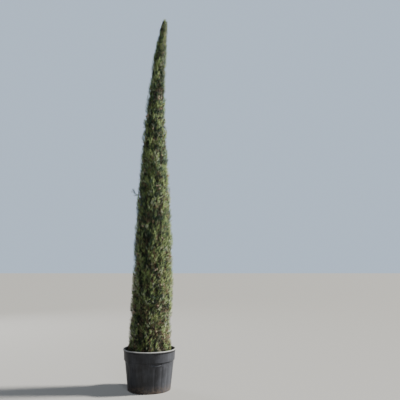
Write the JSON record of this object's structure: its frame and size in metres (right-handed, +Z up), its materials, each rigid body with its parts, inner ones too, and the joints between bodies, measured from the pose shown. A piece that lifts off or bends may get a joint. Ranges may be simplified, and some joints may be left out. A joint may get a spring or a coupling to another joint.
{
  "type": "potted italian cypress tree",
  "caption": "Tall slender evergreen column of dense upright foliage on a straight trunk, growing in a round black nursery pot with a rolled rim.",
  "frame": {"origin": "middle of the pot's flat underside", "axes": "+Z up along the trunk; +X to the right and +Y away from the viewer in the pictured view; the tip leans to +X"},
  "size_m": [0.65, 0.65, 4.78],
  "materials": {
    "pot": "black moulded polyethylene, satin, dusty",
    "potting_mix": "dark crumbly bark and peat mix",
    "bark": "thin grey-brown bark in long fibrous strips",
    "foliage": "dense sprays of scale needles, dark green to olive"
  },
  "bodies": {
    "root": {"pot": "pot", "potting_mix": "potting_mix", "trunk": "bark", "bough_1_1": "bark", "bough_1_2": "bark", "bough_1_3": "bark", "bough_1_4": "bark", "bough_1_5": "bark", "bough_2_1": "bark", "bough_2_2": "bark", "bough_2_3": "bark", "bough_2_4": "bark", "bough_2_5": "bark", "bough_3_1": "bark", "bough_3_2": "bark", "bough_3_3": "bark", "bough_3_4": "bark", "bough_3_5": "bark", "bough_4_1": "bark", "bough_4_2": "bark", "bough_4_3": "bark", "bough_4_4": "bark", "bough_4_5": "bark", "foliage_1_1": "foliage", "foliage_1_2": "foliage", "foliage_1_3": "foliage", "foliage_1_4": "foliage", "foliage_1_5": "foliage", "foliage_2_1": "foliage", "foliage_2_2": "foliage", "foliage_2_3": "foliage", "foliage_2_4": "foliage", "foliage_2_5": "foliage", "foliage_3_1": "foliage", "foliage_3_2": "foliage", "foliage_3_3": "foliage", "foliage_3_4": "foliage", "foliage_3_5": "foliage", "foliage_4_1": "foliage", "foliage_4_2": "foliage", "foliage_4_3": "foliage", "foliage_4_4": "foliage", "foliage_4_5": "foliage", "foliage_5_1": "foliage", "foliage_5_2": "foliage", "foliage_5_3": "foliage", "foliage_5_4": "foliage", "foliage_5_5": "foliage", "foliage_6_1": "foliage", "foliage_6_2": "foliage", "foliage_6_3": "foliage", "foliage_6_4": "foliage", "foliage_6_5": "foliage", "foliage_7_1": "foliage", "foliage_7_2": "foliage", "foliage_7_3": "foliage", "foliage_7_4": "foliage", "foliage_7_5": "foliage", "foliage_leader": "foliage"}
  },
  "joints": []
}
